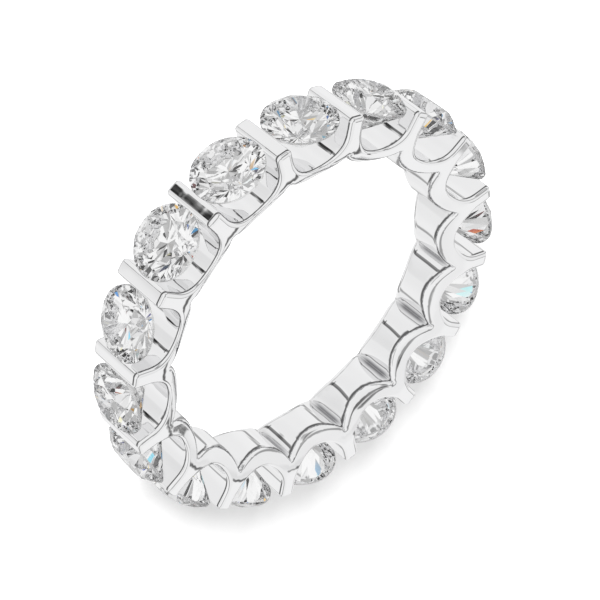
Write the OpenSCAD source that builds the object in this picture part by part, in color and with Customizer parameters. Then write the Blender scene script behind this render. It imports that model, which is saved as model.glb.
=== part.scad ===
// Bar set eternity band: sixteen round brilliant stones, each held between two upright bars.
// The ring lies on its side, as it rests on a table. Its axis is +Z, the origin is on that
// axis, and z = 0 is the plane that the lowest girdles touch. Lengths are in millimetres.

/* [Ring] */
// Finger hole, across the inmost faces of the cradles
finger_d = 17.3; // [17.1:0.1:17.5]
// Distance from the ring's axis to the outer face of a bar
bar_top_r = 12; // [11.9:0.05:12.1]
// Width of the band, which is the length of a bar
band_w = 3.55; // [3.45:0.05:3.65]

/* [Bars] */
// Thickness of a bar, measured round the ring
bar_t = 0.92; // [0.86:0.02:0.98]
// Slope at the top of each end of a bar
bar_end_bevel = 0.2; // [0.1:0.05:0.3]

/* [Cradles] */
// Metal between a stone's channel and the finger, at its thinnest
cradle_t = 0.91; // [0.85:0.01:1]
// Width of the face that touches the finger
finger_face_w = 1.94; // [1.8:0.02:2.1]
// Distance from the ring's axis at which the sloping sides end
side_r = 9.8; // [9.7:0.05:9.9]
// Width of the band where the sloping sides end
side_w = 3.36; // [3.3:0.02:3.4]

/* [Stones] */
// Diameter of a stone at its girdle
stone_d = 3.9; // [3.86:0.01:3.94]
// Distance from the ring's axis to the middle of a girdle
girdle_r = 11.71; // [11.68:0.01:11.74]
// Width of the table as a share of the diameter
table_share = 0.57; // [0.53:0.01:0.6]
// Slope of the crown's main facets, in degrees
crown_angle = 34.5; // [33:0.5:36]
// Slope of the pavilion's main facets, in degrees
pavilion_angle = 40.8; // [40:0.2:41.4]
// Thickness of the girdle as a share of the diameter
girdle_share = 0.03; // [0.02:0.005:0.035]
// Clearance between a stone and its seat
seat_gap = 0.03; // [0.02:0.01:0.05]

/* [Hidden] */
$fn = 96;
stone_count = 16;
pitch = 360 / stone_count;
half_pitch = pitch / 2;

function stone_name(i) = str("stone_", i < 9 ? "0" : "", i + 1);

// The middle plane of the ring lies half a stone above the table that it rests on
mid_z = stone_d / 2;
finger_r = finger_d / 2;
// A channel's round floor is tangent to the flanks of both its bars, which sets its centre
channel_floor_r = finger_r + cradle_t;
channel_c = (channel_floor_r - bar_t / 2) / (1 - sin(half_pitch));
channel_r = channel_c - channel_floor_r;
// The finger side of a cradle is round about the same centre as its channel
cradle_r = channel_c - finger_r;
// Overshoot of a cutting shape past the surface that it cuts
over = 1;

stone_r = stone_d / 2;
girdle_half = stone_d * girdle_share / 2;
table_r = stone_r * table_share;
// A star facet reaches halfway from the table's edge to the girdle, seen from above
star_share = 0.5;
// A lower girdle facet reaches this far from the girdle to the culet, seen from above
lower_share = 0.77;
facet_step = 45;
star_r = table_r * cos(facet_step / 2) * (1 - star_share) + stone_r * star_share;
lower_r = stone_r * (1 - lower_share);
table_h = girdle_half + (stone_r - table_r) * tan(crown_angle);
star_h = girdle_half + (stone_r - star_r * cos(facet_step / 2)) * tan(crown_angle);
lower_h = -girdle_half - (stone_r - lower_r * cos(facet_step / 2)) * tan(pavilion_angle);
culet_h = -girdle_half - stone_r * tan(pavilion_angle);
// Radial depth of a seat, inwards from its deepest point
seat_depth = 0.4;

// Half width of the opening between two bars at a distance r from the ring's axis
function flank_u(r) = tan(half_pitch) * r - bar_t / 2 / cos(half_pitch);

// Outline of the opening above one stone, across the ring, with +X towards the stone
module channel_outline() {
    far_r = bar_top_r + over;
    tangent_x = channel_c - channel_r * sin(half_pitch);
    translate([channel_c, 0]) circle(channel_r);
    polygon([
        [tangent_x, -flank_u(tangent_x)], [far_r, -flank_u(far_r)],
        [far_r, flank_u(far_r)], [tangent_x, flank_u(tangent_x)]
    ]);
}

// Outline of the metal, seen along the ring's axis
module band_outline() {
    difference() {
        intersection() {
            circle(bar_top_r, $fn = 192);
            union() {
                for (i = [0:stone_count - 1])
                    rotate((i + 0.5) * pitch) translate([channel_c, 0]) circle(cradle_r);
            }
        }
        for (i = [0:stone_count - 1]) rotate((i + 0.5) * pitch) channel_outline();
    }
}

// Half section of the band through the ring's axis: the sides slope in towards the finger
module side_profile() {
    slope = (side_w - finger_face_w) / 2 / (side_r - finger_r);
    inner_r = finger_r - over;
    inner_z = finger_face_w / 2 - slope * over;
    upper = [
        [inner_r, inner_z], [side_r, side_w / 2], [side_r + 1, band_w / 2],
        [bar_top_r - bar_end_bevel, band_w / 2], [bar_top_r + over, band_w / 2 - bar_end_bevel - over]
    ];
    polygon(concat(upper, [for (i = [len(upper) - 1:-1:0]) [upper[i][0], -upper[i][1]]]));
}

// The groove that a stone's girdle presses into the bars, turned about the stone's axis
module seat_cut() {
    r = stone_r + seat_gap;
    h = girdle_half + seat_gap;
    rotate_extrude() polygon([
        [0, h + seat_depth * tan(crown_angle)], [r - seat_depth, h + seat_depth * tan(crown_angle)], [r, h],
        [r, -h], [r - seat_depth, -h - seat_depth * tan(pavilion_angle)],
        [0, -h - seat_depth * tan(pavilion_angle)]
    ]);
}

// Puts a stone, or its seat, in place: its axis turned outwards, its girdle between the bars
module at_stone(i) {
    translate([0, 0, mid_z]) rotate((i + 0.5) * pitch) translate([girdle_r, 0, 0]) rotate([0, 90, 0])
        children();
}

module band() {
    color([0.86, 0.87, 0.88]) difference() {
        translate([0, 0, mid_z]) intersection() {
            rotate_extrude($fn = 192) side_profile();
            translate([0, 0, -band_w / 2 - over]) linear_extrude(band_w + 2 * over) band_outline();
        }
        for (i = [0:stone_count - 1]) at_stone(i) seat_cut();
    }
}

function ring_points(r, h, turn, count) =
    [for (k = [0:count - 1]) let (a = turn + k * 360 / count) [r * cos(a), r * sin(a), h]];

// A round brilliant with 57 facets and a girdle of sixteen flats, table towards +Z
module brilliant() {
    // Rows of points: table, star, upper girdle, lower girdle, lower halves, culet
    points = concat(
        ring_points(table_r, table_h, 0, 8),
        ring_points(star_r, star_h, facet_step / 2, 8),
        ring_points(stone_r, girdle_half, 0, 16),
        ring_points(stone_r, -girdle_half, 0, 16),
        ring_points(lower_r, lower_h, facet_step / 2, 8),
        [[0, 0, culet_h]]
    );
    function table(k) = k % 8;
    function star(k) = 8 + (k + 8) % 8;
    function upper(k) = 16 + (k + 16) % 16;
    function lower(k) = 32 + (k + 16) % 16;
    function half(k) = 48 + (k + 8) % 8;
    culet = 56;
    faces = concat(
        [[for (k = [7:-1:0]) table(k)]],
        [for (k = [0:7]) [table(k), table(k + 1), star(k)]],
        [for (k = [0:7]) [table(k), star(k), upper(2 * k), star(k - 1)]],
        [for (k = [0:7]) [star(k), upper(2 * k + 1), upper(2 * k)]],
        [for (k = [0:7]) [star(k), upper(2 * k + 2), upper(2 * k + 1)]],
        [for (k = [0:15]) [upper(k), upper(k + 1), lower(k + 1), lower(k)]],
        [for (k = [0:7]) [half(k), lower(2 * k), lower(2 * k + 1)]],
        [for (k = [0:7]) [half(k), lower(2 * k + 1), lower(2 * k + 2)]],
        [for (k = [0:7]) [culet, half(k - 1), lower(2 * k), half(k)]]
    );
    polyhedron(points, faces);
}

module stone(i) {
    color([0.93, 0.96, 0.98]) at_stone(i) brilliant();
}

band();
for (i = [0:stone_count - 1]) stone(i);
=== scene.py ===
# %% [markdown]
# # A bar set eternity band in Blender
#
# A bar set band holds each stone between two upright bars, and leaves it open on its other two
# sides, so that light comes in from both edges of the ring. This lesson starts from the solids
# of the ring, which already have the right size and place, and builds over them a finely
# modelled casting, sixteen cut diamonds and a white studio. Everything is in metres, with the
# ring lying on its side and its axis along Z.

import math

import bmesh
import bpy
from mathutils import Matrix, Quaternion, Vector


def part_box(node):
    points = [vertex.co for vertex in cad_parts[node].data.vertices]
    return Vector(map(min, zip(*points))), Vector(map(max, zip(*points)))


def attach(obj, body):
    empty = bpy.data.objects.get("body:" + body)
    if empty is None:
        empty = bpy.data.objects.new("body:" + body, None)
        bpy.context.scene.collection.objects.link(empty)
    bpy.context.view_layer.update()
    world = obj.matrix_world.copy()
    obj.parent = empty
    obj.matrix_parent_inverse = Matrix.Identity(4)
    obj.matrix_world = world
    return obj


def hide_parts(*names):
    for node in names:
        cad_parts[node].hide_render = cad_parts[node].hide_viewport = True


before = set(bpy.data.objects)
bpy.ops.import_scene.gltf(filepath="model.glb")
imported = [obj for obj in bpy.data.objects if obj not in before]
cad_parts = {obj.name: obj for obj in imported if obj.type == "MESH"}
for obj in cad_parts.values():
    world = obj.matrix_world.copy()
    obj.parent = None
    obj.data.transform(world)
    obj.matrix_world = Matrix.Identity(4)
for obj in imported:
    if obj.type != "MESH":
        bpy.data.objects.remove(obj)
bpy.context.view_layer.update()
stone_nodes = sorted(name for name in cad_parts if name.startswith("stone_"))
print("pieces in the frame:", len(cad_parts), "of them stones:", len(stone_nodes))

# %% [markdown]
# ## Sizes that the frame gives
#
# The frame says how far out the bars reach, how wide the band is, and how large a stone is. These
# could be typed in again, but reading them keeps the model and the frame from drifting apart.
# They are kept in millimetres, as on a drawing, because a ring is so small that a length in
# metres is hard to read.

# %% Sizes from the frame
MM = 0.001
band_low, band_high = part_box("band")
stone_low, stone_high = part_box(stone_nodes[0])
STONE_COUNT = len(stone_nodes)
HALF_PITCH = math.pi / STONE_COUNT
BAR_TOP_R = band_high.x / MM
BAND_HALF_W = (band_high.z - band_low.z) / 2 / MM
STONE_R = (stone_high.z - stone_low.z) / 2 / MM
MID_Z = (stone_high.z + stone_low.z) / 2 / MM
print(f"bars reach {BAR_TOP_R:.2f} mm, a stone is {2 * STONE_R:.2f} mm across")

# %% [markdown]
# ## Sizes that the caster chooses
#
# A box doesn't show the finger hole, the thickness of a bar, or the metal that is left under a
# stone. Those are the caster's own. The channel between two bars is round at the bottom, and its
# round has to touch both bars, which settles where its centre lies.

# %% The cradle's sizes
FINGER_R = 8.65
CRADLE_T = 0.91
BAR_T = 0.92
FLOOR_R = FINGER_R + CRADLE_T
CHANNEL_C = (FLOOR_R - BAR_T / 2) / (1 - math.sin(HALF_PITCH))
CHANNEL_R = CHANNEL_C - FLOOR_R
CRADLE_R = CHANNEL_C - FINGER_R
print(f"a channel has a radius of {CHANNEL_R:.3f} mm round {CHANNEL_C:.3f} mm")

# %% [markdown]
# ## A clear start
#
# Every piece is modelled with the operators that a hand uses in edit mode. An operator works on
# all that is selected, and the frame's own solids start selected, so each step first clears the
# selection.


# %% Clearing the selection
def clear_selection():
    """Leaves edit mode and selects nothing."""
    if bpy.context.object and bpy.context.object.mode != "OBJECT":
        bpy.ops.object.mode_set(mode="OBJECT")
    bpy.ops.object.select_all(action="DESELECT")


print("selected after loading:", len(bpy.context.selected_objects))
clear_selection()
print("selected after clearing:", len(bpy.context.selected_objects))

# %% [markdown]
# ## The outline of half a cradle
#
# Seen along the ring's axis, a cradle is a U. Its inside is a circle round a point just below
# the stone, which runs out into the straight flank of a bar. Its outside, towards the finger,
# is a wider circle round the same point, which stops at the middle of the bar, where the next
# cradle begins. One half of that U is enough, because the ring repeats it thirty-two times.
# Each spoke of the strip starts on the channel's wall and ends on the finger side or, higher
# up, on the middle plane of the bar.

# %% Outline
SPOKES_UNDER = 16
SPOKES_CORNER = 12
SPOKES_FLANK = 3
LAST_SPOKE = SPOKES_UNDER + SPOKES_CORNER + SPOKES_FLANK
FLANK_ANGLE = math.pi / 2 + HALF_PITCH
PLANE_GAP = CHANNEL_C * math.sin(HALF_PITCH)
GROOVE_ANGLE = FLANK_ANGLE + math.acos(PLANE_GAP / CRADLE_R)
BAR_WAY = Vector((math.cos(HALF_PITCH), math.sin(HALF_PITCH)))
FLANK_FOOT_R = CHANNEL_C * math.cos(HALF_PITCH)
CHANNEL_CENTRE = Vector((CHANNEL_C, 0.0))


def spoke(number):
    """The two ends of a spoke, on the channel's wall and on the cradle's back, in the ring's plane."""
    past_arc = number - SPOKES_UNDER - SPOKES_CORNER
    if number <= SPOKES_UNDER:
        angle = math.pi + (GROOVE_ANGLE - math.pi) * number / SPOKES_UNDER
    else:
        share = min((number - SPOKES_UNDER) / SPOKES_CORNER, 1.0)
        angle = GROOVE_ANGLE + (FLANK_ANGLE - GROOVE_ANGLE) * share
    way = Vector((math.cos(angle), math.sin(angle)))
    reach = min(CRADLE_R, PLANE_GAP / math.cos(angle - FLANK_ANGLE))
    wall = CHANNEL_CENTRE + way * CHANNEL_R
    back = CHANNEL_CENTRE + way * reach
    if past_arc > 0:
        climb = BAR_WAY * (BAR_TOP_R - FLANK_FOOT_R) * past_arc / SPOKES_FLANK
        wall += climb
        back += climb
    return wall, back


print("spokes:", LAST_SPOKE + 1, "the groove is", round(spoke(SPOKES_UNDER)[1].length, 3), "mm out")

# %% [markdown]
# ## The sides of the band
#
# The sides of the band aren't flat. They are as wide apart as a bar is long at the outside,
# and slope in towards the finger, so that the ring is comfortable between two fingers. The
# half width depends only on the distance from the ring's axis, so one function gives it
# everywhere, and no mesh has to be trimmed afterwards.

# %% Side form
FINGER_HALF_W = 0.97
SIDE_TOP_R = 10.8
SIDE_CURVE = 2.3


def half_width(r):
    """Half the width of the band at a distance r from the ring's axis, in millimetres."""
    share = min(max((r - FINGER_R) / (SIDE_TOP_R - FINGER_R), 0.0), 1.0)
    return BAND_HALF_W - (BAND_HALF_W - FINGER_HALF_W) * (1 - share) ** SIDE_CURVE


print("half width at the finger, the groove and the bars:",
      [round(half_width(r), 3) for r in (FINGER_R, spoke(SPOKES_UNDER)[1].length, BAR_TOP_R)])

# %% [markdown]
# ## Half a cradle, from a flat grid
#
# A whole ring could be cut from a block with booleans, but its edges would then be hard to
# round. Here a flat grid, with one line for each spoke, is laid along the outline and lifted to
# the side of the band. A few rows between the wall and the back let it follow the side's slope.
# It is modelled in millimetres and shrunk at the end, because Blender's merge and bevel
# distances are coarse at a ring's real size.

# %% Flat strip
ROWS = (0.0, 0.56, 0.625, 0.69, 1.0)


def lay_strip():
    """A strip of spokes, from the middle of a cradle to the top of a bar, on the side of the band."""
    clear_selection()
    rows = len(ROWS) - 1
    bpy.ops.mesh.primitive_grid_add(x_subdivisions=LAST_SPOKE, y_subdivisions=rows, size=2)
    strip = bpy.context.object
    for vertex in strip.data.vertices:
        number = round((vertex.co.x + 1) / 2 * LAST_SPOKE)
        share = ROWS[round((vertex.co.y + 1) / 2 * rows)]
        wall, back = spoke(number)
        place = wall.lerp(back, share)
        vertex.co = (place.x, place.y, half_width(place.length))
    return strip


half_cradle = lay_strip()
half_cradle.name = "band_casting"
print("faces in the strip:", len(half_cradle.data.polygons))

# %% [markdown]
# ## Picking by place
#
# By hand, edges are clicked. In a script they are picked by where they lie, which holds even
# when a size changes. A test says yes or no to each edge, and those that pass are selected for
# the next operator.


# %% Edit mode and picking
def edit(piece):
    """Opens one piece in edit mode, with nothing in it selected."""
    clear_selection()
    bpy.context.view_layer.objects.active = piece
    piece.select_set(True)
    bpy.ops.object.mode_set(mode="EDIT")
    bpy.ops.mesh.select_all(action="DESELECT")


def pick_edges(piece, test):
    """Selects the edges of a piece in edit mode that pass a test, and counts them."""
    bpy.ops.mesh.select_mode(type="EDGE")
    bpy.ops.mesh.select_all(action="DESELECT")
    shape = bmesh.from_edit_mesh(piece.data)
    picked = [edge for edge in shape.edges if test(edge)]
    for edge in picked:
        edge.select_set(True)
    shape.select_flush_mode()
    bmesh.update_edit_mesh(piece.data)
    return len(picked)


def is_open(edge):
    """Whether an edge has a face on one side only."""
    return edge.is_boundary


edit(half_cradle)
print("edges on the strip's rim:", pick_edges(half_cradle, is_open))

# %% [markdown]
# ## Walls down to the middle
#
# The strip is only the side of the band. Its edge along the channel, the bar's top and the
# finger side is extruded, and the new edge is pressed flat onto the band's middle plane, which
# gives the walls. The two ends of the strip stay open, because mirror copies join there.

# %% Walls
NEAR = 1e-4


def on_bar_plane(co):
    """Whether a point lies on the middle plane of the bar."""
    return abs(co.y * BAR_WAY.x - co.x * BAR_WAY.y) < NEAR


def on_stone_plane(co):
    """Whether a point lies on the middle plane of the cradle, under the stone."""
    return abs(co.y) < NEAR


def is_wall_edge(edge):
    """Whether an edge of the rim gets a wall: it lies on neither of the two planes."""
    a, b = (v.co for v in edge.verts)
    return is_open(edge) and not any(plane(a) and plane(b) for plane in (on_bar_plane, on_stone_plane))


print("wall edges:", pick_edges(half_cradle, is_wall_edge))
bpy.ops.mesh.extrude_edges_move()
bpy.ops.transform.resize(value=(1, 1, 0), center_override=(0, 0, 0))
bpy.ops.mesh.select_all(action="SELECT")
bpy.ops.mesh.normals_make_consistent(inside=False)

# %% [markdown]
# ## The edge along the finger
#
# A polisher's wheel rounds every edge that it can reach. The edge along the finger hole is
# rounded most, so that the ring slides on. A bevel with a few steps and a round profile gives
# that form, and its width stays a number that can be read and changed.

# %% Finger edges
SHARP = math.radians(50)
FINGER_ROUND = 0.26
EDGE_STEPS = 5
ROUND = 0.5


def is_finger_edge(edge):
    """Whether an edge lies on the side of the band, along the back of the cradle."""
    on_back = all(v.co.z > NEAR and (v.co.xy - CHANNEL_CENTRE).length > CRADLE_R - NEAR
                  for v in edge.verts)
    return on_back and edge.calc_face_angle(0) > SHARP


print("finger edges:", pick_edges(half_cradle, is_finger_edge))
bpy.ops.mesh.bevel(offset=FINGER_ROUND, segments=EDGE_STEPS, profile=ROUND, affect="EDGES")

# %% [markdown]
# ## The edges of the channel and of the bar
#
# The mouth of the channel and the four edges of a bar's top are rounded a little less. They are
# bevelled in a second pass, because one bevel has one width.

# %% Outer edges
EDGE_ROUND = 0.24


def is_outer_edge(edge):
    """Whether a sharp edge lies along the channel or on the bar."""
    if edge.calc_face_angle(0) < SHARP:
        return False
    return all((v.co.xy - CHANNEL_CENTRE).length < CHANNEL_R + NEAR
               or v.co.xy.length > FLANK_FOOT_R - NEAR for v in edge.verts)


print("outer edges:", pick_edges(half_cradle, is_outer_edge))
bpy.ops.mesh.bevel(offset=EDGE_ROUND, segments=EDGE_STEPS, profile=ROUND, affect="EDGES")

# %% [markdown]
# ## A bar that isn't quite flat
#
# A bar's top is filed by hand and comes out slightly crowned, by a few hundredths of a
# millimetre. That is far too little to see as a shape, but in a mirror finish it bends what the
# bar reflects, where a dead flat top would show one even tone. Bisect adds lines to bow, and
# each point then sinks by how far it is from the middle of the bar.

# %% Crown of the bar
CROWN = 0.02
CROSS_CROWN_R = 9.0
CROWN_CUTS = (0.3, 0.6, 0.9, 1.2, 1.5)


def crown_bar_top(piece):
    """Bows the top of the bar along its length and across it, so that it falls away to its edges."""
    for height in CROWN_CUTS:
        bpy.ops.mesh.select_all(action="SELECT")
        bpy.ops.mesh.bisect(plane_co=(0, 0, height), plane_no=(0, 0, 1), threshold=NEAR)
    shape = bmesh.from_edit_mesh(piece.data)
    way = Vector((BAR_WAY.x, BAR_WAY.y, 0))
    across = Vector((-BAR_WAY.y, BAR_WAY.x, 0))
    for vertex in shape.verts:
        climb = (vertex.co.dot(way) - (BAR_TOP_R - EDGE_ROUND)) / EDGE_ROUND
        if climb > 0:
            along_drop = CROWN * (vertex.co.z / BAND_HALF_W) ** 2
            across_drop = vertex.co.dot(across) ** 2 / (2 * CROSS_CROWN_R)
            vertex.co -= way * (along_drop + across_drop) * min(climb, 1.0)
    bmesh.update_edit_mesh(piece.data)


crown_bar_top(half_cradle)
clear_selection()
print("vertices in half a cradle:", len(half_cradle.data.vertices))

# %% [markdown]
# ## From a quarter to a whole cradle
#
# What was modelled is the upper half of half a cradle. The Mirror modifier copies it across the
# band's middle plane and across the plane under the stone in one go, and welds the copies where
# they touch. After this there is a whole cradle with half a bar on each side.


# %% Whole cradle
def apply_modifier(piece, kind, **settings):
    """Adds one modifier with these settings and applies it."""
    clear_selection()
    bpy.context.view_layer.objects.active = piece
    piece.select_set(True)
    modifier = piece.modifiers.new(kind.title(), kind)
    for key, value in settings.items():
        setattr(modifier, key, value)
    bpy.ops.object.modifier_apply(modifier=modifier.name)


apply_modifier(half_cradle, "MIRROR", use_axis=(False, True, True), use_clip=True, merge_threshold=NEAR)
casting = half_cradle
print("vertices in a whole cradle:", len(casting.data.vertices))

# %% [markdown]
# ## Sixteen cradles in one casting
#
# The real band is cast in one piece, so its cradles aren't separate objects that touch. Spin
# with copies turns the cradle round the axis, once for each stone, and the copies are merged at
# the middles of the bars. Normals are made to point outwards again after the merge, because
# mirrored copies may have theirs turned in.

# %% Whole ring
SEAM_MERGE = 5 * NEAR
edit(casting)
bpy.ops.mesh.select_all(action="SELECT")
bpy.ops.mesh.spin(steps=STONE_COUNT - 1, dupli=True, angle=2 * math.pi - 2 * HALF_PITCH,
                  center=(0, 0, 0), axis=(0, 0, 1))
bpy.ops.mesh.select_all(action="SELECT")
bpy.ops.mesh.remove_doubles(threshold=SEAM_MERGE)
bpy.ops.mesh.normals_make_consistent(inside=False)
print("edges still open:", pick_edges(casting, is_open))

# %% [markdown]
# ## Grooves on the finger side
#
# Where two cradles meet, the finger side has a groove. A polishing brush can't get to a sharp
# bottom, and a cast groove never has one, so its edge gets a small round. Such an edge is the
# only kind that is hollow and steep, which is how it is found.

# %% Grooves
CREASE = math.radians(35)
GROOVE_ROUND = 0.07
GROOVE_STEPS = 4


def is_groove(edge):
    """Whether an edge is the bottom of a groove: hollow, and steeper than a crease."""
    return not edge.is_convex and edge.calc_face_angle(0) > CREASE


print("groove edges:", pick_edges(casting, is_groove))
bpy.ops.mesh.bevel(offset=GROOVE_ROUND, segments=GROOVE_STEPS, profile=ROUND, affect="EDGES")
bpy.ops.mesh.select_all(action="SELECT")
bpy.ops.mesh.remove_doubles(threshold=NEAR)
bpy.ops.mesh.normals_make_consistent(inside=False)
clear_selection()
print("faces in the casting:", len(casting.data.polygons))

# %% [markdown]
# ## To its place and its real size
#
# The frame starts with a bar at angle zero, and the model with a stone, so the casting is
# turned by half a step. Then it is lifted to the height of the frame and shrunk to metres. All
# three are done to the mesh, so that the object itself stays at the origin, unturned and
# unscaled, and patterns on its Object coordinates stay put.

# %% Into place
casting.data.transform(Matrix.Rotation(HALF_PITCH, 4, "Z"))
casting.data.transform(Matrix.Translation((0, 0, MID_Z)))
casting.data.transform(Matrix.Scale(MM, 4))
heights = [vertex.co.z / MM for vertex in casting.data.vertices]
print(f"the casting lies from {min(heights):.3f} to {max(heights):.3f} mm above the floor")

# %% [markdown]
# ## Smooth where it is polished
#
# The walls and the rounded edges are one polished skin. Smooth shading by angle shades them as
# one and keeps any true crease. Weighted normals then make each large face decide the shading
# at its border, so that a wall stays straight beside its rounded edge. Last, the casting is attached
# to the body that it moves with, and the frame's band, whose place it takes, is hidden.

# %% Shading of the casting
BODY = "root"


def smooth(piece, crease):
    """Smooth shading that stops at creases, with large faces deciding at their borders."""
    clear_selection()
    bpy.context.view_layer.objects.active = piece
    piece.select_set(True)
    bpy.ops.object.shade_smooth_by_angle(angle=crease)
    apply_modifier(piece, "WEIGHTED_NORMAL", mode="FACE_AREA", weight=100, keep_sharp=True)


smooth(casting, CREASE)
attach(casting, BODY)
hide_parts("band")
print("sharp edges left in the casting:", sum(edge.use_edge_sharp for edge in casting.data.edges))

# %% [markdown]
# ## The proportions of a brilliant
#
# A round brilliant is drawn from a few shares of its width and two angles. The flat table on
# top, the slope of the crown and the slope of the pavilion below decide how much light comes
# back to the eye. The points where small facets meet large ones follow from them, so they are
# worked out, not typed in.

# %% Proportions
TABLE_SHARE = 0.57
CROWN_SLOPE = math.radians(34.5)
PAVILION_SLOPE = math.radians(40.8)
GIRDLE_SHARE = 0.03
STAR_SHARE = 0.5
LOWER_SHARE = 0.77
EIGHTH = math.pi / 4
GIRDLE_HALF = STONE_R * GIRDLE_SHARE
TABLE_R = STONE_R * TABLE_SHARE
TABLE_H = GIRDLE_HALF + (STONE_R - TABLE_R) * math.tan(CROWN_SLOPE)
STAR_R = TABLE_R * math.cos(EIGHTH / 2) * (1 - STAR_SHARE) + STONE_R * STAR_SHARE
STAR_H = GIRDLE_HALF + (STONE_R - STAR_R * math.cos(EIGHTH / 2)) * math.tan(CROWN_SLOPE)
LOWER_R = STONE_R * (1 - LOWER_SHARE)
LOWER_DROP = (STONE_R - LOWER_R * math.cos(EIGHTH / 2)) * math.tan(PAVILION_SLOPE)
CULET_H = -GIRDLE_HALF - STONE_R * math.tan(PAVILION_SLOPE)
print(f"the table is {TABLE_H:.2f} mm above the girdle, the point {-CULET_H:.2f} mm below it")

# %% [markdown]
# ## One facet
#
# A cutter holds the stone against a turning wheel, which takes off everything outside one flat.
# Bisect does just that: it cuts the mesh along a plane, clears what lies outside, and fills the
# cut with one face. A facet is given by where it faces, a point on it, and how steep it is.


# %% One cut
def cut(turn, radius, height, slope):
    """Cuts one facet: a plane through a point at this radius and height, sloping down outwards."""
    out = Vector((math.cos(turn), math.sin(turn), 0))
    normal = out * math.sin(slope) + Vector((0, 0, math.cos(slope)))
    bpy.ops.mesh.select_all(action="SELECT")
    bpy.ops.mesh.bisect(plane_co=out * radius + Vector((0, 0, height)), plane_no=normal,
                        use_fill=True, clear_outer=True, threshold=NEAR)


def slope_between(high, low, reach):
    """The slope of a facet that falls from one height to another over this distance."""
    return math.atan((high - low) / reach)


star_slope = slope_between(TABLE_H, STAR_H, STAR_R - TABLE_R * math.cos(EIGHTH / 2))
upper_slope = slope_between(STAR_H, GIRDLE_HALF, STONE_R - STAR_R * math.cos(EIGHTH / 4))
lower_slope = slope_between(LOWER_DROP, 0.0, STONE_R - LOWER_R * math.cos(EIGHTH / 4))
print("slopes of star, upper and lower facets in degrees:",
      [round(math.degrees(slope), 1) for slope in (star_slope, upper_slope, lower_slope)])

# %% [markdown]
# ## A brilliant, cut as a lapidary cuts it
#
# The stone could be typed in as a list of points, but cutting it is closer to the craft and
# leaves no hole between facets. It starts as a round blank. The table is the blank's flat top,
# and eight mains above and below the girdle come first. The eight stars round the table follow,
# and then sixteen small facets above the girdle and sixteen below it.

# %% Cutting
BLANK_SIDES = 96
MAINS = 8


def cut_brilliant():
    """A round brilliant with 57 facets, table towards +Z, girdle in the plane z = 0."""
    clear_selection()
    bpy.ops.mesh.primitive_cylinder_add(vertices=BLANK_SIDES, radius=STONE_R, depth=TABLE_H - CULET_H,
                                        location=(0, 0, (TABLE_H + CULET_H) / 2))
    stone = bpy.context.object
    bpy.ops.object.transform_apply(location=True, rotation=False, scale=False)
    edit(stone)
    for number in range(MAINS):
        cut(number * EIGHTH, STONE_R, GIRDLE_HALF, CROWN_SLOPE)
        cut(number * EIGHTH, STONE_R, -GIRDLE_HALF, math.pi - PAVILION_SLOPE)
    for number in range(MAINS):
        cut((number + 0.5) * EIGHTH, STAR_R, STAR_H, star_slope)
    for number in range(2 * MAINS):
        turn = (number + 0.5) * EIGHTH / 2
        cut(turn, STONE_R, GIRDLE_HALF, upper_slope)
        cut(turn, STONE_R, -GIRDLE_HALF, math.pi - lower_slope)
    bpy.ops.mesh.select_all(action="SELECT")
    bpy.ops.mesh.normals_make_consistent(inside=False)
    clear_selection()
    return stone


cutting = cut_brilliant()
print("corners of the cut stone:", len(cutting.data.vertices))

# %% [markdown]
# ## A mark on the girdle
#
# The girdle of a diamond is ground, not polished, so it needs another finish than the facets.
# A second material could be given to its faces. A number on each face does the same, and lets
# one material serve the whole stone: one on the upright faces of the girdle, and zero elsewhere.

# %% Girdle mark
UPRIGHT = 0.1
frosting = cutting.data.attributes.new("girdle", "FLOAT", "FACE")
for face in cutting.data.polygons:
    frosting.data[face.index].value = float(abs(face.normal.z) <= UPRIGHT)
marked = sum(round(mark.value) for mark in frosting.data)
print("facets:", len(cutting.data.polygons) - marked, "faces round the girdle:", marked)

# %% [markdown]
# ## Sixteen stones in their seats
#
# One finished stone is copied to every seat, each copy with a mesh of its own. Its axis points
# out from the ring, and its girdle lies where the bars hold it. The turn to the seat is done to
# the mesh, for the same reason as with the casting.

# %% Stones in place
GIRDLE_R = 11.71
SEAT_TURN = Matrix.Rotation(math.pi / 2, 4, "Y")


def seat_matrix(number):
    """Takes a stone from the workbench to its seat, and from millimetres to metres."""
    around = Matrix.Rotation((2 * number + 1) * HALF_PITCH, 4, "Z")
    outwards = Matrix.Translation((GIRDLE_R, 0, 0))
    upwards = Matrix.Translation((0, 0, MID_Z))
    return Matrix.Scale(MM, 4) @ upwards @ around @ outwards @ SEAT_TURN


def set_stone(number, stone_node):
    """Copies the cut stone to one seat, in place of the frame's stone there."""
    mesh = cutting.data.copy()
    mesh.transform(seat_matrix(number))
    stone = bpy.data.objects.new("diamond_" + stone_node[-2:], mesh)
    bpy.context.scene.collection.objects.link(stone)
    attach(stone, BODY)
    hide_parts(stone_node)
    return stone


diamonds = [set_stone(number, stone_node) for number, stone_node in enumerate(stone_nodes)]
bpy.data.objects.remove(cutting)
print("stones set:", len(diamonds))

# %% [markdown]
# ## Nodes by name
#
# A finish is a small graph of nodes, and most graphs here use the same few: a noise, a step from
# one value to another, a sum or a product, and a blend of two colours. Each gets a short helper
# that adds the node, feeds it, and hands back its result, so that a finish reads like a recipe.


# %% Node helpers
def node(tree, kind, **settings):
    """Adds a node to a tree and sets its properties."""
    made = tree.nodes.new("ShaderNode" + kind)
    for key, value in settings.items():
        setattr(made, key, value)
    return made


def feed(tree, socket, value):
    """Links another node's result to a socket, or sets the socket to a plain value."""
    if isinstance(value, bpy.types.NodeSocket):
        tree.links.new(value, socket)
    else:
        socket.default_value = value


def maths(tree, operation, *values):
    """A math node on results or numbers, and its own result."""
    made = node(tree, "Math", operation=operation)
    for socket, value in zip(made.inputs, values):
        feed(tree, socket, value)
    return made.outputs[0]


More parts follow.
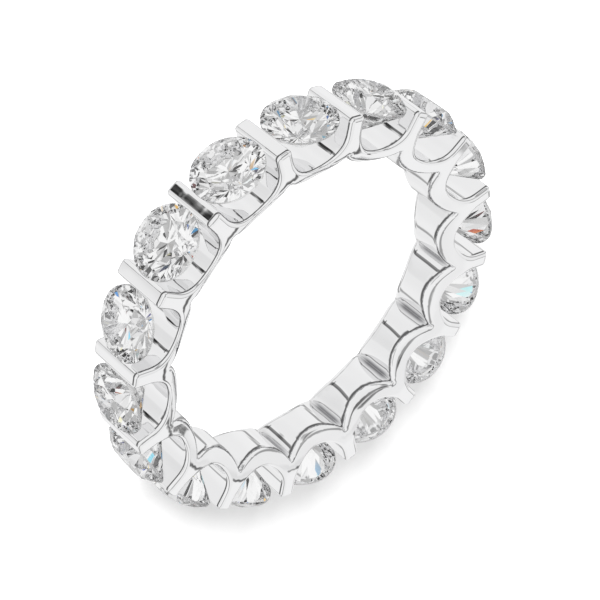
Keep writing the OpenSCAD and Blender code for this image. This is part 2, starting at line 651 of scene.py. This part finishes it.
def vector_maths(tree, operation, *values, scale=None):
    """A vector math node, and its own result: a number for a length or a dot product."""
    made = node(tree, "VectorMath", operation=operation)
    for socket, value in zip(made.inputs, values):
        feed(tree, socket, value)
    if scale is not None:
        feed(tree, made.inputs["Scale"], scale)
    is_number = operation in ("DOT_PRODUCT", "LENGTH", "DISTANCE")
    return made.outputs["Value" if is_number else "Vector"]


def new_finish(name):
    """A new material, with its tree and its Principled shader."""
    material = bpy.data.materials.new(name)
    material.use_nodes = True
    return material, material.node_tree, material.node_tree.nodes["Principled BSDF"]


gold, gold_tree, gold_shader = new_finish("polished_white_gold")
gold_place = node(gold_tree, "TexCoord").outputs["Object"]
print("nodes in a new finish:", [part.name for part in gold_tree.nodes])

# %% [markdown]
# ## The gloss of polished white gold
#
# White gold is polished to a mirror, so what it shows is mostly the room around it. A mirror
# from the workshop is never perfect, though: hands and cloths leave patches that are a little
# less bright. A noise a few millimetres coarse moves the roughness between two low values. An
# even roughness would be simpler, but the metal would then look computed.

# %% Gloss
PATCH_SCALE = 420
PATCH_DETAIL = 5
PATCH_ENDS = (0.35, 0.7)
CLEAN_POLISH = 0.012
TOUCHED_POLISH = 0.05


def noise(tree, vector, scale, detail, result="Fac"):
    """A noise on these coordinates, and its result."""
    made = node(tree, "TexNoise")
    made.inputs["Scale"].default_value = scale
    made.inputs["Detail"].default_value = detail
    tree.links.new(vector, made.inputs["Vector"])
    return made.outputs[result]


def step(tree, value, low, high, at_low, at_high, way="SMOOTHSTEP"):
    """Goes from one value to another while the input goes from low to high."""
    made = node(tree, "MapRange", interpolation_type=way)
    ends = {"Value": value, "From Min": low, "From Max": high, "To Min": at_low, "To Max": at_high}
    for name, end in ends.items():
        feed(tree, made.inputs[name], end)
    return made.outputs["Result"]


touched = noise(gold_tree, gold_place, PATCH_SCALE, PATCH_DETAIL)
gloss = step(gold_tree, touched, *PATCH_ENDS, CLEAN_POLISH, TOUCHED_POLISH, way="LINEAR")
gold_tree.links.new(gloss, gold_shader.inputs["Roughness"])
gold_shader.inputs["Metallic"].default_value = 1.0
print("roughness from", CLEAN_POLISH, "to", TOUCHED_POLISH)

# %% [markdown]
# ## Hairlines and waves
#
# The wheel leaves hairlines across the width of the band, and its soft edge leaves waves that
# are longer than a millimetre and shallower than a hair. Neither can be seen as a shape, but
# both bend a reflection, so they are bumps and not geometry. The hairlines are a noise that is
# squeezed in two directions, and the waves lie under them.

# %% Hairlines and waves
HAIRLINE_SCALE = (9000, 9000, 1500)
HAIRLINE_DETAIL = 3
HAIRLINE_DEPTH = 2.5e-7
WAVE_SCALE = 650
WAVE_DEPTH = 3.5e-5


def bump(tree, height, depth):
    """A relief of this depth in metres, as a bump node."""
    made = node(tree, "Bump")
    made.inputs["Distance"].default_value = depth
    tree.links.new(height, made.inputs["Height"])
    return made


squeezed = node(gold_tree, "Mapping")
squeezed.inputs["Scale"].default_value = HAIRLINE_SCALE
gold_tree.links.new(gold_place, squeezed.inputs["Vector"])
hairlines = bump(gold_tree, noise(gold_tree, squeezed.outputs[0], 1.0, HAIRLINE_DETAIL), HAIRLINE_DEPTH)
waves = bump(gold_tree, noise(gold_tree, gold_place, WAVE_SCALE, 0), WAVE_DEPTH)
gold_tree.links.new(waves.outputs[0], hairlines.inputs["Normal"])
gold_tree.links.new(hairlines.outputs[0], gold_shader.inputs["Normal"])
print(f"hairlines {HAIRLINE_DEPTH / MM:.5f} mm deep at most, waves {WAVE_DEPTH / MM:.3f} mm")

# %% [markdown]
# ## Where a groove lies
#
# The grooves of the finger side get painted shade: their colour is darkened where shade falls
# between two cradles. Painting it needs to know where a groove is. The ring's own symmetry
# answers that: a groove lies at the middle of each bar, low on it, and near the middle of the
# band. So the angle round the axis is folded back at every stone, and three soft limits are multiplied.

# %% Groove share
GROOVE_REACH = math.radians(1.4)
GROOVE_TOP_R = 10.1
GROOVE_TOP_FADE = 0.3
GROOVE_HALF_W = 0.5
GROOVE_END_HALF_W = 1.3


def groove_share(tree, place):
    """How deep in a groove a point of the casting lies: 1 on the line where two cradles meet."""
    axes = node(tree, "SeparateXYZ")
    tree.links.new(place, axes.inputs[0])
    angle = maths(tree, "ARCTAN2", axes.outputs["Y"], axes.outputs["X"])
    from_bar = maths(tree, "PINGPONG", angle, HALF_PITCH)
    flat = node(tree, "CombineXYZ")
    tree.links.new(axes.outputs["X"], flat.inputs["X"])
    tree.links.new(axes.outputs["Y"], flat.inputs["Y"])
    radius = vector_maths(tree, "LENGTH", flat.outputs[0])
    height = maths(tree, "ABSOLUTE", maths(tree, "SUBTRACT", axes.outputs["Z"], MID_Z * MM))
    beside = step(tree, from_bar, 0.0, GROOVE_REACH, 1.0, 0.0)
    below = step(tree, radius, (GROOVE_TOP_R - GROOVE_TOP_FADE) * MM, GROOVE_TOP_R * MM, 1.0, 0.0)
    middle = step(tree, height, GROOVE_HALF_W * MM, GROOVE_END_HALF_W * MM, 1.0, 0.0)
    return maths(tree, "MULTIPLY", maths(tree, "MULTIPLY", beside, below), middle)


# Where this share is high, the gold's colour carries painted shade.
groove_shade_share = groove_share(gold_tree, gold_place)
print("a groove's finish fades over", round(GROOVE_REACH * FINGER_R, 2), "mm to each side")

# %% [markdown]
# ## The colour of white gold
#
# Plated white gold is almost neutral, and a touch cool. The grooves get a darker grey, which is
# painted shade. The two are blended by the share that was just worked out, which then completes the
# finish of the casting.

# %% Colour of the gold
GOLD_TONE = (0.88, 0.88, 0.885, 1)
# Painted shade: a darker grey for the grooves, where shade falls between two cradles.
PAINTED_GROOVE_SHADE = (0.4, 0.4, 0.41, 1)
# A Mix node has sockets for numbers, vectors and colours under the same names. These are for colours.
FIRST_COLOUR = 6
SECOND_COLOUR = 7
MIXED_COLOUR = 2


def blend_colours(tree, share, first, second):
    """Goes from a first colour to a second one by a share from 0 to 1."""
    made = node(tree, "Mix", data_type="RGBA")
    tree.links.new(share, made.inputs["Factor"])
    feed(tree, made.inputs[FIRST_COLOUR], first)
    feed(tree, made.inputs[SECOND_COLOUR], second)
    return made.outputs[MIXED_COLOUR]


# The grooves' darker grey is painted shade, blended into the gold's colour.
gold_tone_with_painted_shade = blend_colours(gold_tree, groove_shade_share, GOLD_TONE, PAINTED_GROOVE_SHADE)
gold_tree.links.new(gold_tone_with_painted_shade, gold_shader.inputs["Base Color"])
casting.data.materials.append(gold)
print("nodes in the gold's finish:", len(gold_tree.nodes))

# %% [markdown]
# ## Clear diamond
#
# A diamond has no colour of its own. It bends light more than glass, and most light that comes
# in through the crown is thrown back by the pavilion. A Principled shader that lets all light
# through does this, with the diamond's own refractive index. The mirror glare on the facets is
# turned down, because a studio keeps bright lamps away from them.

# %% Clear diamond
DIAMOND_IOR = 2.417
GLARE = 0.3
WHITE = (1, 1, 1, 1)
clear, clear_tree, clear_shader = new_finish("clear_diamond")
clear_shader.inputs["Base Color"].default_value = WHITE
clear_shader.inputs["Transmission Weight"].default_value = 1.0
clear_shader.inputs["IOR"].default_value = DIAMOND_IOR
clear_shader.inputs["Specular Tint"].default_value = (GLARE, GLARE, GLARE, 1)
critical = math.degrees(math.asin(1 / DIAMOND_IOR))
print(f"light stays inside the stone when it meets a facet at more than {critical:.1f} degrees")

# %% [markdown]
# ## Ground girdle and a trace of film
#
# The girdle is left ground, so it is grainy like frosted glass. The facets are perfect, but
# fingers leave a faint film on some of them. Both are roughness: the mark on the girdle gives
# one, a noise gives the other, and the larger of the two counts at each point.

# %% Girdle and film
GIRDLE_GRAIN = 0.3
FILM_SCALE = 900
FILM_DETAIL = 3
FILM_ENDS = (0.5, 0.7)
FILM_HAZE = 0.004
girdle_mark = node(clear_tree, "Attribute", attribute_name="girdle").outputs["Fac"]
frost = step(clear_tree, girdle_mark, 0.0, 1.0, 0.0, GIRDLE_GRAIN)
clear_place = node(clear_tree, "TexCoord").outputs["Object"]
film = noise(clear_tree, clear_place, FILM_SCALE, FILM_DETAIL)
haze = step(clear_tree, film, *FILM_ENDS, 0.0, FILM_HAZE)
clear_tree.links.new(maths(clear_tree, "MAXIMUM", frost, haze), clear_shader.inputs["Roughness"])
print("roughness of the girdle:", GIRDLE_GRAIN, "and of the film at most:", FILM_HAZE)

# %% [markdown]
# ## Stones that mirrors don't see
#
# The polished walls beside a stone would mirror it as a crowd of dark and bright sparks, which
# hardly show on the real ring. A Light Path node tells a ray that metal has mirrored from one
# that comes from the camera. The mirrored ray passes straight through a stone, unless it has
# been inside a stone already, because then it is on its way through one.

# %% Unseen in mirrors
clear_path = node(clear_tree, "LightPath")
unseen = node(clear_tree, "BsdfTransparent")


def blend_shaders(share, first, second):
    """Goes from a first shader to a second one by a share from 0 to 1."""
    made = node(clear_tree, "MixShader")
    for socket, part in zip(made.inputs, (share, first, second)):
        clear_tree.links.new(part, socket)
    return made.outputs[0]


mirrored_look = blend_shaders(clear_path.outputs["Transmission Depth"], unseen.outputs[0],
                              clear_shader.outputs[0])
stone_look = blend_shaders(clear_path.outputs["Is Glossy Ray"], clear_shader.outputs[0], mirrored_look)
clear_tree.links.new(stone_look, clear_tree.nodes["Material Output"].inputs["Surface"])
for stone in diamonds:
    stone.data.materials.clear()
    stone.data.materials.append(clear)
print("stones with the diamond finish:", len(diamonds))

# %% [markdown]
# ## A tent of white cloth
#
# Polished metal shows its surroundings, so a ring is photographed in a tent of white cloth. The
# tent could be modelled, but then it would stand in the way of other views. Here the world's
# own shader says how bright the tent is in each direction, which costs nothing and surrounds
# the ring on all sides. A direction is given as an azimuth and an elevation in degrees.

# %% An empty tent
scene = bpy.context.scene
world = bpy.data.worlds.new("light_tent")
world.use_nodes = True
scene.world = world
tent = world.node_tree
look = node(tent, "TexCoord").outputs["Generated"]


def direction(azimuth, elevation):
    """The unit vector towards this azimuth and elevation, both in degrees."""
    a, e = math.radians(azimuth), math.radians(elevation)
    return Vector((math.cos(e) * math.cos(a), math.cos(e) * math.sin(a), math.sin(e)))


print("straight ahead:", tuple(round(part, 3) for part in direction(0, 0)))

# %% [markdown]
# ## Cloth that hangs loose
#
# No seam of a cloth tent is quite straight. A soft noise shifts each direction by a degree or
# two before anything is drawn in it, so every seam wavers with the same cloth.

# %% Loose cloth
SLACK = 0.05
SLACK_SCALE = 5.0
SLACK_DETAIL = 2.0
wobble = noise(tent, look, SLACK_SCALE, SLACK_DETAIL, "Color")
widest = Vector((SLACK, SLACK, SLACK))
shift = vector_maths(tent, "MULTIPLY_ADD", wobble, widest, -widest / 2)
bent = vector_maths(tent, "ADD", look, shift)


def toward(vector):
    """How far the bent look points along a fixed direction: their dot product."""
    return vector_maths(tent, "DOT_PRODUCT", bent, vector)


def darken(light, share):
    """Takes a share of the light away."""
    return maths(tent, "MULTIPLY", light, maths(tent, "SUBTRACT", 1.0, share))


print(f"a seam wavers by at most {math.degrees(SLACK / 2):.1f} degrees")

# %% [markdown]
# ## White cloth, a little uneven
#
# Even the white of the tent isn't one white, because lamps outside light it in broad patches.
# A very soft noise moves it by a few hundredths. The metal takes this on as a faint change of
# tone from wall to wall.

# %% Uneven white
CLOTH_SCALE = 1.3
CLOTH_DETAIL = 1.0
CLOTH_ENDS = (0.35, 0.65)
CLOTH_DIM = 0.92
CLOTH_BRIGHT = 0.985
cloth = noise(tent, look, CLOTH_SCALE, CLOTH_DETAIL)
metal_light = step(tent, cloth, *CLOTH_ENDS, CLOTH_DIM, CLOTH_BRIGHT)
print("the cloth's brightness goes from", CLOTH_DIM, "to", CLOTH_BRIGHT)

# %% [markdown]
# ## Dark hoops
#
# Below the level of the ring the tent leaves dark hoops: gaps that run round it at one
# elevation. The rounded edges of the bars mirror them as fine dark lines, which make the edges
# look crisp. A hoop is found by its height alone, and may stop partway round.

# %% Hoops
HOOPS = (
    # elevation, half width and depth of a dark hoop, the azimuth that it faces, and its reach
    (-16, 13.0, 0.85, -90, 100),
    (-58, 4.0, 0.4, 0, 180),
)
HOOP_CORE = 0.85
HOOP_RIM = 1.08
HOOP_END = 12


def add_hoop(light, elevation, half_width_deg, depth, facing, reach):
    """Darkens a hoop of the tent, from one elevation to another."""
    top, bottom = (math.sin(math.radians(elevation + side * half_width_deg)) for side in (1, -1))
    height = maths(tent, "ABSOLUTE", maths(tent, "SUBTRACT", toward((0, 0, 1)), (top + bottom) / 2))
    edge = (top - bottom) / 2
    dark = step(tent, height, edge * HOOP_CORE, edge * HOOP_RIM, depth, 0.0)
    limits = (math.cos(math.radians(min(reach + turn, 180))) for turn in (HOOP_END, -HOOP_END))
    within = step(tent, toward(direction(facing, 0)), *limits, 0.0, 1.0)
    return darken(light, maths(tent, "MULTIPLY", dark, within))


for hoop in HOOPS:
    metal_light = add_hoop(metal_light, *hoop)
print("hoops:", len(HOOPS))

# %% [markdown]
# ## A dark ring
#
# The side of the band mirrors one spot of the tent, and the round of its edge mirrors a wide
# ring about that spot. Darkening such a ring draws a grey line along every edge of the side, as
# an outline would, without any change to the side itself.

# %% Ring
RINGS = (
    # azimuth and elevation of a ring's centre, its inner and outer radius in degrees, its depth
    (92, 36, 60, 73, 0.6),
)
RING_SOFT = 3


def add_ring(light, azimuth, elevation, inner, outer, depth):
    """Darkens a ring of the tent round one direction."""
    near = toward(direction(azimuth, elevation))
    outer_rim, inner_rim = ([math.cos(math.radians(radius + side * RING_SOFT)) for side in (1, -1)]
                            for radius in (outer, inner))
    outside = step(tent, near, *outer_rim, 0.0, depth)
    inside = step(tent, near, *inner_rim, 1.0, 0.0)
    return darken(light, maths(tent, "MULTIPLY", outside, inside))


for ring in RINGS:
    metal_light = add_ring(metal_light, *ring)
print("rings:", len(RINGS))

# %% [markdown]
# ## Dark curtains
#
# The last gaps are the seams between two sheets of cloth: narrow bands from one direction to
# another. Each was placed by asking which direction a dark line in the metal mirrors. The cloth
# shows through a seam in places, so a fine noise thins it.

# %% One curtain
THIN_SCALE = 28.0
THIN_DETAIL = 1.0
THIN_ENDS = (0.42, 0.6)
THIN_LEAST = 0.85
mottle = step(tent, noise(tent, look, THIN_SCALE, THIN_DETAIL), *THIN_ENDS, 1.0, THIN_LEAST)


def add_curtain(light, start, end, half_width_deg, softness, depth):
    """Darkens a band of the tent that runs along a great circle from start to end."""
    a, b = direction(*start), direction(*end)
    across = maths(tent, "ABSOLUTE", toward(a.cross(b).normalized()))
    inner = math.radians(half_width_deg * (1 - softness))
    outer = math.radians(half_width_deg * (1 + softness))
    dark = step(tent, across, math.sin(inner), math.sin(outer), depth, 0.0)
    reach = a.angle(b) / 2
    middle = toward((a + b).normalized())
    within = step(tent, middle, math.cos(reach + outer), math.cos(reach + inner), 0.0, 1.0)
    return darken(light, maths(tent, "MULTIPLY", maths(tent, "MULTIPLY", dark, within), mottle))


print("a curtain thins to", THIN_LEAST, "of its depth in places")

# %% [markdown]
# ## Where the curtains hang
#
# Directions below the level of the ring show in its upright walls and in the tops of the bars.
# Directions above it, on the far side, show in the rounded edges of the side that faces up.

# %% All curtains
CURTAINS = (
    # from and to (azimuth, elevation), half width, softness and depth of a dark curtain
    # The long seam that crosses the finger walls
    ((-89.8, -31), (-89.8, -52), 3.2, 0.2, 0.8),
    # Four short ones, in the top of one bar only
    ((-96, -43.0), (-86, -43.0), 1.5, 0.6, 0.88),
    ((-92.5, -40.6), (-86, -40.6), 0.6, 0.8, 0.8),
    ((-92.5, -38.6), (-86, -38.6), 0.6, 0.8, 0.8),
    ((-97, -36.0), (-86, -36.0), 1.1, 0.6, 0.88),
    # A faint wide one, and four more seams low in the tent
    ((-84, -40), (-56, -40), 8.0, 0.5, 0.1),
    ((14, -18), (12, -40), 2.8, 0.8, 0.65),
    ((24, -39), (52, -60), 2.6, 0.6, 0.7),
    ((172, -22), (166, -32), 3.0, 0.4, 0.65),
    ((160, -35), (148, -58), 3.0, 0.4, 0.6),
    # Seams across from the camera, in the forks of the side
    ((86, 12), (98, 25), 3.0, 0.5, 0.88),
    ((102, 26), (102, 46), 2.0, 0.6, 0.85),
    ((103, 20), (112, 7), 2.2, 0.6, 0.75),
    ((110, 0), (112, 55), 5.0, 0.8, 0.12),
    # One overhead, and three on the camera's side
    ((-55, 82), (170, 80), 3.0, 0.5, 0.8),
    ((-135, 12), (-150, 32), 5.0, 0.6, 0.5),
    ((-152, 34), (-146, 72), 6.0, 0.6, 0.6),
    ((-72, 14), (-46, 18), 4.0, 0.8, 0.5),
)
for curtain in CURTAINS:
    metal_light = add_curtain(metal_light, *curtain)
print("curtains:", len(CURTAINS))

# %% [markdown]
# ## What a diamond sees
#
# Light leaves a diamond in every direction, so a stone shows scraps of the whole room at once.
# Its life comes from contrast: bright panels, and dark gaps between them. Two broad noises
# stand for the panels and the gaps, and they are kept apart from what the metal mirrors,
# because the seams that suit the metal are too fine for the stones.

# %% Panels and gaps
PANEL_SCALE = 1.6
PANEL_ENDS = (0.34, 0.54)
PANEL_DIM = 0.42
PANEL_BRIGHT = 0.95
GAP_SCALE = 3.4
panels = step(tent, noise(tent, look, PANEL_SCALE, 0.0), *PANEL_ENDS, PANEL_DIM, PANEL_BRIGHT)
gaps = noise(tent, look, GAP_SCALE, 0.0)
print("panels from", PANEL_DIM, "to", PANEL_BRIGHT)

# %% [markdown]
# ## Fire
#
# A diamond spreads white light into colours, which show at the border of a dark gap. A renderer
# that traces light without wavelengths can't do this. So the border of each gap lies in a
# slightly different place for red and for blue, one way or the other by turns, and that leaves a
# thin coloured rim on it.

# %% Fire
FIRE = 0.007
FIRE_SCALE = 30.0
FIRE_ENDS = (0.35, 0.65)
RED_TO_BLUE = (-1, 0, 1)
GAP_EDGE = 0.322
GAP_SOFT = 0.02
GAP_DEEP = 0.06
# A Map Range node has its sockets for vectors after those for numbers.
VECTOR_IN = 6
VECTOR_ENDS = (7, 8, 9, 10)
VECTOR_OUT = 1


def step_colours(vector, *ends):
    """A step for each of red, green and blue at once."""
    made = node(tent, "MapRange", data_type="FLOAT_VECTOR", interpolation_type="SMOOTHSTEP")
    tent.links.new(vector, made.inputs[VECTOR_IN])
    for socket, end in zip(VECTOR_ENDS, ends):
        made.inputs[socket].default_value = (end, end, end)
    return made.outputs[VECTOR_OUT]


fire = step(tent, noise(tent, look, FIRE_SCALE, 0.0), *FIRE_ENDS, -FIRE, FIRE)
apart = vector_maths(tent, "SCALE", RED_TO_BLUE, scale=fire)
spread = vector_maths(tent, "ADD", gaps, apart)
coloured_gaps = step_colours(spread, GAP_EDGE, GAP_EDGE + GAP_SOFT, GAP_DEEP, 1.0)
sparkle = vector_maths(tent, "SCALE", coloured_gaps, scale=panels)
print("red and blue part by", FIRE, "of the noise that draws the gaps")

# %% [markdown]
# ## Calm in the deep
#
# A ray that has bounced many times inside a stone carries a random scrap of the room, and a
# crowd of such rays turns into grain. Real ones blur into an even grey. So the deeper a ray
# comes from, the more it sees of one grey.

# %% Evened light
EVEN_FROM = 5
EVEN_AT = 11
EVEN_MOST = 0.85
EVEN_TONE = (0.62, 0.62, 0.63, 1)
ray = node(tent, "LightPath")
evened = step(tent, ray.outputs["Ray Depth"], EVEN_FROM, EVEN_AT, 0.0, EVEN_MOST)
stone_light = blend_colours(tent, evened, sparkle, EVEN_TONE)
print("light grows even from bounce", EVEN_FROM, "to bounce", EVEN_AT)

# %% [markdown]
# ## What each ray sees
#
# The same tent can now be shown in different ways. The camera sees plain white behind the ring.
# Rays that light the floor get a weaker white, which leaves room for the light of a lamp.
# Mirrored rays see the seams, and rays that leave a stone see its panels and gaps.

# %% What each ray sees
SOFT_WHITE = (0.85, 0.85, 0.85, 1)
seen = blend_colours(tent, ray.outputs["Is Diffuse Ray"], WHITE, SOFT_WHITE)
seen = blend_colours(tent, ray.outputs["Is Glossy Ray"], seen, metal_light)
seen = blend_colours(tent, ray.outputs["Is Transmission Ray"], seen, stone_light)
tent.links.new(seen, tent.nodes["Background"].inputs["Color"])
print("nodes in the tent:", len(tent.nodes))

# %% [markdown]
# ## Enough bounces
#
# Light crosses a diamond many times before it leaves, so it is allowed many more bounces than
# usual: a ray that is stopped early turns black. The plain view transform keeps white cloth
# white, where a film-like one would grey it.

# %% Light settings
STONE_BOUNCES = 32
MIRROR_BOUNCES = 16
scene.view_settings.view_transform = "Standard"
scene.cycles.max_bounces = STONE_BOUNCES
scene.cycles.transmission_bounces = STONE_BOUNCES
scene.cycles.glossy_bounces = MIRROR_BOUNCES
print("bounces in a stone:", scene.cycles.transmission_bounces)

# %% [markdown]
# ## The floor
#
# The ring lies on a pale, matt board. It is only a stage and no part of the ring. It is hidden
# from mirrored rays and from rays inside the stones, because both
# have their own tent to see, and the board would cover its lower half.

# %% Floor
FLOOR_SIZE = 2.0
clear_selection()
bpy.ops.mesh.primitive_plane_add(size=FLOOR_SIZE)
floor = bpy.context.object
floor.name = "floor"
floor.visible_glossy = False
floor.visible_transmission = False
print("the floor is", FLOOR_SIZE, "m wide")

# %% [markdown]
# ## Matt paper
#
# The board is covered with uncoated paper. Its fibres are a fine noise, which changes the tone
# a little and stands up by a few thousandths of a millimetre. It has no gloss at all, so the
# ring leaves a shadow on it but no reflection.

# %% Paper
GRAIN_SCALE = 2500
GRAIN_DETAIL = 4
PAPER_DARK = (0.785, 0.785, 0.785, 1)
PAPER_PALE = (0.815, 0.815, 0.815, 1)
PAPER_ROUGHNESS = 0.9
FIBRE_DEPTH = 2e-6
paper, paper_tree, paper_shader = new_finish("pale_floor")
paper_place = node(paper_tree, "TexCoord").outputs["Object"]
grain = noise(paper_tree, paper_place, GRAIN_SCALE, GRAIN_DETAIL)
paper_tone = blend_colours(paper_tree, grain, PAPER_DARK, PAPER_PALE)
paper_tree.links.new(paper_tone, paper_shader.inputs["Base Color"])
paper_tree.links.new(bump(paper_tree, grain, FIBRE_DEPTH).outputs[0], paper_shader.inputs["Normal"])
paper_shader.inputs["Roughness"].default_value = PAPER_ROUGHNESS
paper_shader.inputs["Specular IOR Level"].default_value = 0.0
floor.data.materials.append(paper)
print(f"fibres stand {FIBRE_DEPTH / MM:.3f} mm proud")

# %% [markdown]
# ## Light from under the ring
#
# A product stand often has a lit panel under the middle of the board, which takes the shadow
# from inside the ring and leaves it only along the foot. Here the paper itself glows instead, as
# painted light that is strong under the ring and fades just outside it.

# %% Lit middle
GLOW_CENTRE = Vector((-4.0, -6.0, 0.0)) * MM
GLOW_R = 15.5
GLOW_END_R = 20.0
GLOW_LEFT = 0.08
# Painted light: the paper's own glow, centred off the ring's middle, takes the shadow from inside the
# ring.
from_middle = vector_maths(paper_tree, "DISTANCE", paper_place, GLOW_CENTRE)
glow = step(paper_tree, from_middle, GLOW_R * MM, GLOW_END_R * MM, 1.0, GLOW_LEFT)
paper_tree.links.new(glow, paper_shader.inputs["Emission Strength"])
paper_shader.inputs["Emission Color"].default_value = WHITE
print("the glow ends", GLOW_END_R, "mm from its centre")

# %% [markdown]
# ## One soft lamp
#
# The tent lights everything evenly, so a shadow needs a lamp. A large round one stands low on
# the camera's side, which throws a short soft shadow behind the ring. Mirrored rays don't see
# it, because the tent already says what the metal shows.

# %% Lamp
KEY_AZIMUTH = -101
KEY_ELEVATION = 22
KEY_DISTANCE = 0.35
KEY_POWER = 3.2
KEY_SIZE = 0.16
key_place = direction(KEY_AZIMUTH, KEY_ELEVATION) * KEY_DISTANCE
key = bpy.data.lights.new("key_light", "AREA")
key.energy = KEY_POWER
key.shape = "DISK"
key.size = KEY_SIZE
lamp = bpy.data.objects.new("key_light", key)
scene.collection.objects.link(lamp)
lamp.location = key_place
lamp.rotation_mode = "QUATERNION"
lamp.rotation_quaternion = (-key_place).to_track_quat("-Z", "Y")
lamp.visible_glossy = False
lamp.visible_transmission = False
print("the lamp hangs", round(key_place.z, 3), "m above the floor")

# %% [markdown]
# ## The camera
#
# The ring was photographed standing up, and here it lies on its side, as the frame has it. So
# the camera takes the place that it had as seen from the ring, and is rolled to match. Its
# distance decides how much smaller the far stones look than the near ones, and its field of
# view decides how large the ring is in the picture.

# %% Camera
CAMERA_DISTANCE = 122.96
CAMERA_AZIMUTH = -88.124
CAMERA_ELEVATION = 35.651
CAMERA_ROLL = math.radians(129.01)
FIELD = math.radians(14.468)
NEAREST = 0.005
FARTHEST = 10
camera = bpy.data.objects.new("camera", bpy.data.cameras.new("camera"))
scene.collection.objects.link(camera)
away = direction(CAMERA_AZIMUTH, CAMERA_ELEVATION)
camera.location = (away * CAMERA_DISTANCE + Vector((0, 0, MID_Z))) * MM
level = (-away).to_track_quat("-Z", "Y")
camera.rotation_mode = "QUATERNION"
camera.rotation_quaternion = level @ Quaternion((0, 0, 1), CAMERA_ROLL)
camera.data.angle = FIELD
camera.data.clip_start = NEAREST
camera.data.clip_end = FARTHEST
scene.camera = camera
print("the camera stands at", tuple(round(part, 4) for part in camera.location))
